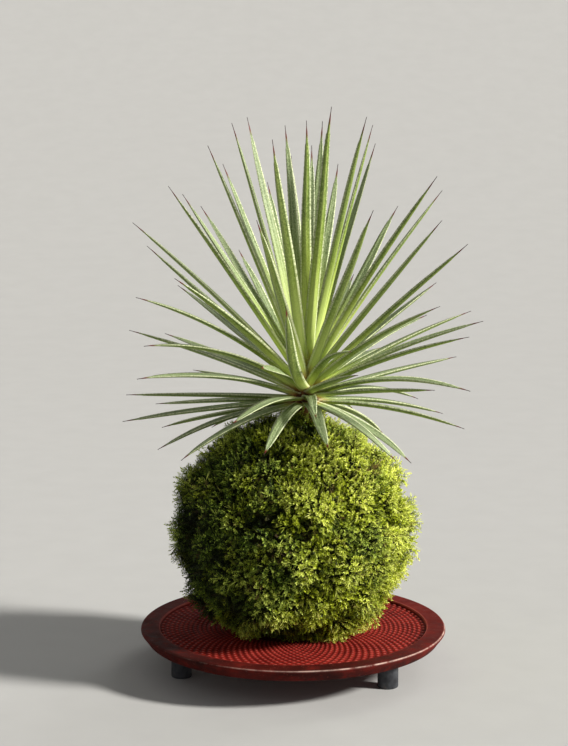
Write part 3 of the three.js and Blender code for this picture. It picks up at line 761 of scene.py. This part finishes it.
def grow_moss(name, count, seed, templates, height, splay_share, material):
    """Shoots or fronds of the templates' forms all over the mat, fanned out of their cushions."""
    rng = np.random.default_rng(seed)
    d = even_directions(count, rng, 1.1)
    index, away = nearest_cushion(d)
    root = d * mat_radius(d)[:, None]
    clear_of_stem = (from_stem(root) > STEM_CLEARANCE) | (root[:, 2] < 0)
    keep = clear_of_stem & (root[:, 2] > SEAT_Z - BALL_Z + 0.6)
    d, index, away, root = d[keep], index[keep], away[keep], root[keep]
    count = len(d)
    outward = unit(d - cushion_centres[index])
    splay = np.clip(away, 0, 1.1)[:, None] * splay_share * (0.6 + 0.6 * cushion_traits[index, 1:2])
    lift = np.array([0, 0, 0.22]) * (d[:, 2:3] > -0.2)
    axis = unit(d + outward * splay + rng.normal(0, 0.22, (count, 3)) + lift)
    hang = unit(outward + [0, 0, -0.5] + rng.normal(0, 0.7, (count, 3)))
    size = height * rng.uniform(0.7, 1.25, count) * (0.8 + 0.4 * cushion_traits[index, 0])
    size = size * np.where(cushion_traits[index, 2] > PROUD_TRAIT, PROUD_GAIN, 1.0) * crown_gain(root)
    variety = np.clip(moss_colour(d, index) + rng.normal(0, 0.15, count), 0, 1)
    # Painted light and shade, by the shoot's place on the ball.
    lit = moss_painted_light(d)
    dryness = dead_share(root, rng.normal(0, 0.28, count))
    turns = frames_along(axis, hang)
    kind = rng.integers(0, len(templates), count)
    corners = len(templates[0][0])
    triangles = kite_triangles(corners)
    per_piece = MOST_TRIANGLES // len(triangles)
    for part, start in enumerate(range(0, count, per_piece), 1):
        these = np.arange(start, min(count, start + per_piece))
        forms = np.stack([templates[k][0] for k in kind[these]]) * size[these, None, None]
        growth_and_light = np.stack([templates[k][1] for k in kind[these]])
        placed = np.einsum("nij,npj->npi", turns[these], forms) + root[these, None, :]
        placed[..., 2] = np.maximum(placed[..., 2] + BALL_Z, FIELD_Z + BEAD_HEIGHT + 0.1)
        # Painted shade towards each cushion's edge, times the painted light and shade over the ball.
        growth_and_light = growth_and_light * (1 - 0.45 * np.clip(away[these], 0, 1)[:, None] ** 2) * lit[these, None]
        place = vectors(growth_and_light.shape, growth_and_light, variety[these, None], dryness[these, None])
        faces = copied(triangles, len(these), corners)
        piece = new_mesh(f"{name}_{part}", placed.reshape(-1, 3), [faces], smooth=False)
        set_vectors(piece, "shoot_place", place)
        finish_piece(piece, material, "moss")


def make_moss():
    make_mat()
    material = moss_shoot_material()
    rng = np.random.default_rng(FORM_SEED)
    kinds = (
        ("moss_shoots", shoot_template, *SHOOTS),
        ("moss_fronds", frond_template, *FRONDS),
        ("moss_bristles", bristle_template, *BRISTLES),
    )
    for seed, (name, template, count, height, splay) in enumerate(kinds, FIRST_GROWTH_SEED):
        forms = [template(rng) for _ in range(FORMS_OF_A_KIND)]
        grow_moss(name, count, seed, forms, height, splay, material)


# The twine's great circles are the CAD's. Here it is two-ply, and lies on the shaded mat under the shoots.
TWINE_RINGS, TWINE_TILT, TWINE_TURN = 3, 48.0, 20.0
TWINE_STEPS = 300
PLY_RADIUS = 0.3
PLY_SIDES = 6
PLY_TURNS = 55
TWINE_OVER_MAT = 0.5
TWINE_SMOOTHING = 4  # steps either way that its distance from the ball's centre is averaged over


def make_twine():
    angle = np.linspace(0, 2 * math.pi, TWINE_STEPS, endpoint=False)
    around = np.linspace(0, 2 * math.pi, PLY_SIDES, endpoint=False)[:, None]
    points = []
    for ring in range(TWINE_RINGS):
        tilt, turn = math.radians(TWINE_TILT), math.radians(360 / TWINE_RINGS * ring + TWINE_TURN)
        pole = np.array([math.sin(tilt) * math.cos(turn), math.sin(tilt) * math.sin(turn), math.cos(tilt)])
        first = np.array([-math.sin(turn), math.cos(turn), 0])
        outward = np.outer(np.cos(angle), first) + np.outer(np.sin(angle), np.cross(pole, first))
        radius = mat_radius(outward)
        shifts = range(-TWINE_SMOOTHING, TWINE_SMOOTHING + 1)
        radius = sum(np.roll(radius, steps) for steps in shifts) / len(shifts) + TWINE_OVER_MAT
        for ply in (0, 1):
            phase = angle * PLY_TURNS + math.pi * ply
            middle = outward * (radius + PLY_RADIUS * np.cos(phase))[:, None]
            middle = middle + np.outer(PLY_RADIUS * np.sin(phase), pole)
            middle[:, 2] = np.maximum(middle[:, 2], SEAT_Z - BALL_Z + 1)
            section = np.cos(around) * outward[:, None] + np.sin(around) * pole
            points.append((middle[:, None] + PLY_RADIUS * section).reshape(-1, 3) + [0, 0, BALL_Z])
    corners = TWINE_STEPS * PLY_SIDES
    quads = grid_faces(TWINE_STEPS + 1, PLY_SIDES) % corners
    piece = new_mesh("jute_binding", np.vstack(points), [copied(quads, len(points), corners)])
    finish_piece(piece, twine_material(), "twine", "binding_twine")


# Plant: the same leaves as the CAD's, with fine sections, stripes, teeth and spines

CROWN_HEIGHT, CROWN_RADIUS = 16.0, 7.5
ROOT_INSET_LOW, ROOT_INSET_HIGH = 3.5, 0.8
LEAF_WIDTH, LEAF_THICKNESS = 6.0, 2.4
LEVEL_LEAF_LENGTH, UPRIGHT_LEAF_GAIN, LOW_LEAF_LOSS = 95.0, 50.0, 40.0
SHORTEST_SHARE, LONGEST_SHARE = 0.86, 1.02
LOWEST_PITCH, HIGHEST_PITCH = -22.0, 87.0
USUAL_DROOP = 3.0
LEAF_OVER_MOSS = 5.2
RAISED_BY = 0.5  # degrees at a time, until a leaf clears the moss
LEAST_DROOP = 0.5
TAPER_DELAY, TAPER_POWER = 3.2, 0.75
HIDDEN_SPIRAL = 110
ROOM_FOR_A_LEAF = 13.0
HIDDEN_SECTOR = (8, 172)
HIGHEST_HIDDEN_PITCH = 50
LOWEST_HIDDEN_DROOP = 24
STRAY_PITCH, STRAY_HEADING, STRAY_DROOP, STRAY_WIDTH = 5, 9, 5, 0.1
MOST_TWIST, TWIST_STEP = 14.0, 2.4
LEAF_SEED = 42
EYE = np.array([-6.5, -1054.0, 197.0])  # from the foot of the lowest leaves
FRONT, BACK = 1, -1

# The seen leaves' tips, as part.mjs gives them: right and up in millimetres, the side that the leaf
# leans to, then its droop in degrees, its shares of the usual width and length, and its twist in degrees.
SEEN_LEAVES = [
    # the upright fan, from left to right
    (-86, 93, FRONT, 9), (-79, 81, BACK), (-68, 111, FRONT), (-61, 107, BACK), (-52, 101, BACK),
    (-48, 131, BACK), (-41, 122, BACK), (-36, 142, FRONT), (-33, 79, BACK), (-29, 145, BACK),
    (-25, 94, FRONT), (-19, 113, BACK), (-17, 134, FRONT), (-10, 141, BACK), (-7, 126, BACK),
    (0, 143, FRONT), (3, 131, BACK), (8, 143, BACK), (12, 150, FRONT), (16, 122, BACK), (29, 145, FRONT),
    (32, 141, BACK), (33, 99, FRONT), (34, 132, BACK), (46, 101, BACK), (64, 116, FRONT, 8),
    (67, 109, BACK, 8), (67, 94, FRONT), (80, 82, FRONT),
    # the spreading leaves on the left, from the top down
    (-66, 65, FRONT, 12, 1.15), (-64, 61, BACK, 6), (-86, 56, FRONT, 26), (-89, 38, BACK, 10),
    (-71, 36, BACK, 8), (-83, 31, FRONT, 36, 1.25), (-57, 17, BACK, 8), (-86, 13, FRONT, 26, 1.15),
    (-91, 4, BACK, 5), (-76, -1, BACK, 5), (-93, -10, BACK, 6), (-72, -18, BACK, 10),
    (-75, -28, FRONT, 26), (-64, -31, FRONT, 28, 1.1),
    # the spreading leaves on the right
    (67, 51, FRONT, 18, 1.2), (83, 48, BACK, 12), (89, 43, FRONT, 16), (82, 35, FRONT, 14),
    (76, 24, BACK, 6), (84, 7, FRONT, 34), (65, 7, FRONT, 6), (58, 2, BACK, 34), (70, -6, BACK, 20),
    (81, -14, FRONT, 22), (54, -32, FRONT, 24, 1.05), (46, -31, FRONT, 24, 1.05),
    # the short leaves that point at the eye
    (-11, 51, FRONT, -48, 1.05, 0.8), (23, 28, FRONT, 40, 1, 0.62), (26, 15, FRONT, 8, 1, 0.75),
    (-23, 19, FRONT, 30, 1.4, 0.45, -50), (5, -8, FRONT, 50, 1, 0.5), (-38, -11, FRONT, 26, 1.15, 0.8),
    (11, -25, FRONT, 30, 1.1, 0.72), (-22, -28, FRONT, 32, 1.15, 0.75),
]


def repeatable(state):
    """The same stream of numbers from 0 to 1 as the CAD source's."""
    while True:
        state = (state * 1664525 + 1013904223) & 0xFFFFFFFF
        yield state / 4294967296


def leaf_length(pitch):
    rise = math.sin(math.radians(pitch))
    return LEVEL_LEAF_LENGTH + (UPRIGHT_LEAF_GAIN * rise ** 1.5 if rise > 0 else LOW_LEAF_LOSS * rise)


def share_of(draw):
    return SHORTEST_SHARE + (LONGEST_SHARE - SHORTEST_SHARE) * draw


def root_height(pitch):
    return CROWN_HEIGHT * min(1.0, max(0.0, (pitch - LOWEST_PITCH) / (HIGHEST_PITCH - LOWEST_PITCH)))


def root_inset(height):
    return ROOT_INSET_LOW + (ROOT_INSET_HIGH - ROOT_INSET_LOW) * height / CROWN_HEIGHT


def pitch_of(point, height):
    return math.degrees(math.atan2(point[2] - height, math.hypot(point[0], point[1])))


def seen_leaf(usual_share, right, up, side, droop=USUAL_DROOP, width=1.0, share=None, twist=None):
    """A leaf from where its tip is seen. The tip moves along the line of sight to the usual length."""
    share = usual_share if share is None else share
    tip = np.array([right, 0.0, up])
    step = (EYE - tip) / np.linalg.norm(EYE - tip) * side
    while True:
        height = root_height(pitch_of(tip, CROWN_HEIGHT / 2))
        pitch = pitch_of(tip, height)
        length = math.dist(tip, (0, 0, height)) - root_inset(height)
        if length >= leaf_length(pitch) * share:
            azimuth = math.degrees(math.atan2(tip[1], tip[0]))
            leaf = dict(azimuth=azimuth, pitch=pitch, height=height, length=length)
            return leaf | dict(droop=droop, width=width, twist=twist)
        tip = tip + step


def angle_between(a, b):
    pitch_a, pitch_b = math.radians(a["pitch"]), math.radians(b["pitch"])
    turn = math.radians(a["azimuth"] - b["azimuth"])
    level = math.cos(pitch_a) * math.cos(pitch_b) * math.cos(turn)
    return math.degrees(math.acos(min(1.0, math.sin(pitch_a) * math.sin(pitch_b) + level)))


def hidden_leaves(seen, draws):
    """The leaves hidden from the front: a golden-angle spiral where it has room among the seen leaves."""
    def stray():
        return next(draws) * 2 - 1

    hidden = []
    for i in range(HIDDEN_SPIRAL):
        age = i / (HIDDEN_SPIRAL - 1)
        pitch = LOWEST_PITCH + (HIGHEST_PITCH - LOWEST_PITCH) * age + STRAY_PITCH * stray()
        azimuth = (i * GOLDEN_ANGLE + STRAY_HEADING * stray()) % 360
        leaf = dict(azimuth=azimuth, pitch=pitch, height=root_height(pitch))
        leaf["length"] = leaf_length(pitch) * share_of(next(draws))
        leaf["droop"] = LOWEST_HIDDEN_DROOP * (1 - age) ** 1.5 + STRAY_DROOP * stray()
        leaf["width"] = 1 + STRAY_WIDTH * stray()
        at_back = HIDDEN_SECTOR[0] < azimuth < HIDDEN_SECTOR[1] and pitch < HIGHEST_HIDDEN_PITCH
        if at_back and all(angle_between(leaf, other) > ROOM_FOR_A_LEAF for other in seen):
            hidden.append(leaf)
    return hidden


def leaf_line(leaf, s):
    """Points and normals at shares s of a leaf's length, and its sideways direction."""
    s = np.asarray(s, float)[:, None]
    bend = math.radians(leaf["droop"] if abs(leaf["droop"]) >= LEAST_DROOP else LEAST_DROOP)
    start = math.radians(leaf["pitch"]) + bend / 2
    angle = start - bend * s
    heading = math.radians(leaf["azimuth"])
    outward = np.array([math.cos(heading), math.sin(heading), 0.0])
    up = np.array([0.0, 0.0, 1.0])
    out = root_inset(leaf["height"]) + leaf["length"] * (math.sin(start) - np.sin(angle)) / bend
    rise = leaf["height"] + leaf["length"] * (np.cos(angle) - math.cos(start)) / bend
    points = outward * out + up * rise + [CROWN_OFFSET_X, 0.0, CROWN_Z]
    normals = -outward * np.sin(angle) + up * np.cos(angle)
    return points, normals, np.array([-math.sin(heading), math.cos(heading), 0.0])


def touches_ball(leaf):
    points = leaf_line(leaf, [0.25, 0.4, 0.55, 0.7, 0.85, 1.0])[0] - [0.0, 0.0, BALL_Z]
    distance = np.linalg.norm(points, axis=1)
    surface = ball_radius(points / distance[:, None])
    return (distance < surface + LEAF_OVER_MOSS).any()


def leaf_plan():
    draws = repeatable(LEAF_SEED)
    seen = [seen_leaf(share_of(next(draws)), *tip) for tip in SEEN_LEAVES]
    plan = seen + hidden_leaves(seen, draws)
    for number, leaf in enumerate(plan):
        while touches_ball(leaf):
            leaf["pitch"] += RAISED_BY
        if leaf.get("twist") is None:
            leaf["twist"] = MOST_TWIST * math.sin(TWIST_STEP * number)
    return plan


LEAF_STATIONS, SPINE_STATIONS = 88, 10
SPINE_START = 0.93
SPINE_END = 1.022  # the spine's fine point runs on past the CAD's blade
SPINE_TIP, SPINE_FLARE = 0.055, 0.2
LEAST_HALF_WIDTH, LEAST_THICKNESS = 0.05, 0.12
TOOTH, FIRST_TOOTH, LAST_TOOTH = 0.13, 0.1, SPINE_START - 0.01
SWAY, SWAY_SEED = 0.35, 3
# How far the streaks' noise is moved from leaf to leaf, and from a leaf's upper face to its lower one.
LEAF_STEP, LOWER_FACE_STEP = 17.3, 40.0
# Points round a blade: across from -1 to 1, and up in shares of its thickness, from one margin on.
BLADE_SECTION = np.array([
    (-1.0, 0.28), (-0.55, 0.16), (0.0, 0.08), (0.55, 0.16),
    (1.0, 0.28), (0.66, -0.22), (0.14, -0.63), (0.0, -0.70), (-0.14, -0.63), (-0.66, -0.22),
])
ACROSS, UP = BLADE_SECTION.T
LEFT_MARGIN, RIGHT_MARGIN = 0, 4


def blade_taper(s):
    """Nearly even, then drawn out to a slender spine."""
    body = (1 - np.clip(s, 0, 1) ** TAPER_DELAY) ** TAPER_POWER
    spine = SPINE_TIP + SPINE_FLARE * np.clip((1 - s) / (1 - SPINE_START), 0, 1)
    return np.where(s < SPINE_START, np.maximum(body, spine), spine)


def leaf_blade(leaf, s, sway):
    """A leaf's points, row by row round its blade, and how far across the blade each of them is."""
    centre, normal, side = leaf_line(leaf, s)
    turn = np.radians(leaf["twist"] * s)[:, None]
    across_blade = side * np.cos(turn) + normal * np.sin(turn)
    off_blade = normal * np.cos(turn) - side * np.sin(turn)
    centre = centre + across_blade * sway[:, None]
    taper = blade_taper(s)
    half = np.maximum(LEAF_WIDTH / 2 * leaf["width"] * taper, LEAST_HALF_WIDTH)
    thick = np.maximum(LEAF_THICKNESS * taper ** TAPER_POWER, LEAST_THICKNESS)
    every_other = np.arange(len(s)) % 2 == 0
    tooth = np.where(every_other & (s > FIRST_TOOTH) & (s < LAST_TOOTH), TOOTH, 0.0)
    across = ACROSS * half[:, None]
    across[:, LEFT_MARGIN] -= tooth
    across[:, RIGHT_MARGIN] += tooth
    grid = centre[:, None, :] + across_blade[:, None, :] * across[..., None]
    grid += off_blade[:, None, :] * (UP * thick[:, None])[..., None]
    return grid.reshape(-1, 3), across


def make_leaves():
    spine = np.linspace(SPINE_START, SPINE_END, SPINE_STATIONS)[1:]
    s = np.concatenate([np.linspace(0, SPINE_START, LEAF_STATIONS), spine])
    rows, sides = len(s), len(BLADE_SECTION)
    shape, share = (rows, sides), s[:, None]
    upper = np.where(UP > 0, np.where(np.abs(ACROSS) < 0.9, 1.0, 0.5), 0.0)
    # Where the keel's painted highlight lies.
    keel_highlight = np.clip((-UP - 0.5) / 0.2, 0, 1)
    lower = np.where(UP < 0, LOWER_FACE_STEP, 0.0)
    rng = np.random.default_rng(SWAY_SEED)
    points, places, parts, faces_seen = [], [], [], []
    for number, leaf in enumerate(leaf_plan()):
        sway = SWAY * np.sin(s * rng.uniform(7, 11) + rng.uniform(0, 6.28)) * s
        grid, across = leaf_blade(leaf, s, sway)
        # How upright a leaf is sets how far its base's painted glow reaches.
        upright = max(0.0, math.sin(math.radians(leaf["pitch"])))
        points.append(grid)
        places.append(vectors(shape, across + lower, share * leaf["length"], number * LEAF_STEP))
        parts.append(vectors(shape, share, rng.uniform(), np.abs(ACROSS)))
        faces_seen.append(vectors(shape, upper, keel_highlight, upright))
    ends = np.array([np.arange(sides)[::-1], (rows - 1) * sides + np.arange(sides)])
    faces = [copied(group, len(points), rows * sides) for group in (grid_faces(rows, sides), ends)]
    piece = new_mesh("agave_leaves", np.vstack(points), faces)
    for name, values in (("leaf_place", places), ("leaf_part", parts), ("leaf_face", faces_seen)):
        set_vectors(piece, name, np.vstack(values))
    finish_piece(piece, leaf_material(), "leaf", "agave")


def make_stem():
    """A short stem, from inside the ball up to the middle of the leaves."""
    profile = [(3.6, -14), (4.2, -8), (CROWN_RADIUS - 2.2, -3), (CROWN_RADIUS - 0.8, 0)]
    profile += [(CROWN_RADIUS - 1.2, 4), (CROWN_RADIUS - 2.4, 9), (CROWN_RADIUS - 4.4, 14), (1.2, 16)]

    def scars(r, angle, z):
        return 0.35 * np.sin(8 * angle + 1.9 * z) * np.clip(r / CROWN_RADIUS, 0, 1)

    piece = turned("agave_stem", [(r, z + CROWN_Z) for r, z in profile], 96, scars)
    shift(piece, CROWN_OFFSET_X, 0)
    finish_piece(piece, stem_material(), "leaf")


def dress_soil():
    """The ball of soil is already in its right shape in the frame."""
    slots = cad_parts["soil_ball"].data.materials
    slots.clear()
    slots.append(soil_material())


# Stage, lights and camera

EYE_DISTANCE = 1100.0
EYE_ELEVATION = 16.7
EYE_DOWN = 9.8
EYE_RIGHT = -4.8  # the plate's middle is a little right of the picture's middle


def make_stage():
    """A pale floor that sweeps up into a backdrop a long way behind."""
    width, near, far, bend = 6000, -3500, 900, 3600
    profile = [(near, 0.0), (far, 0.0)] + arc((far, bend), bend, -87, 0, 30)
    points = [(x, y, z) for y, z in profile for x in (-width, width)]
    faces = np.array([[2 * i, 2 * i + 1, 2 * i + 3, 2 * i + 2] for i in range(len(profile) - 1)])
    floor = new_mesh("studio_floor", points, [faces])
    floor.data.materials.append(floor_material())


def add_sun(name, direction, strength, softness, colour=(1, 1, 1)):
    """A distant soft light that shines from a direction. Softness is its width in degrees."""
    lamp = bpy.data.lights.new(name, "SUN")
    lamp.energy = strength
    lamp.angle = math.radians(softness)
    lamp.color = colour
    light = new_object(name, lamp)
    light.rotation_euler = Vector(direction).to_track_quat("Z", "Y").to_euler()
    light.location = Vector(direction)


def make_lights():
    add_sun("key", (1.25, -0.3, 0.72), strength=5.7, softness=9, colour=(1.0, 0.98, 0.94))
    add_sun("fill", (-1.0, -1.3, 0.7), strength=0.15, softness=60, colour=(0.94, 0.97, 1.0))
    add_sun("back", (0.9, 1.2, 0.9), strength=1.0, softness=30)
    world = bpy.data.worlds.new("studio")
    world.use_nodes = True
    background = world.node_tree.nodes["Background"]
    background.inputs["Color"].default_value = (0.93, 0.93, 0.93, 1)
    background.inputs["Strength"].default_value = 0.22
    bpy.context.scene.world = world
    bpy.context.scene.view_settings.view_transform = "Standard"


def make_camera():
    rise = math.radians(EYE_ELEVATION)
    lens = bpy.data.cameras.new("photo_view")
    lens.lens = 100
    lens.sensor_width = 36
    lens.clip_start = 0.05
    lens.clip_end = 50
    camera = new_object("photo_view", lens)
    offset = [EYE_RIGHT, -EYE_DISTANCE * math.cos(rise), RIM_Z + EYE_DISTANCE * math.sin(rise)]
    camera.location = (HOME + offset) * MM
    camera.rotation_euler = (math.radians(90 - EYE_DOWN), 0, 0)
    bpy.context.scene.camera = camera


make_camera()
make_stage()
make_lights()
make_plate()
make_feet()
make_moss()
make_twine()
make_leaves()
make_stem()
dress_soil()
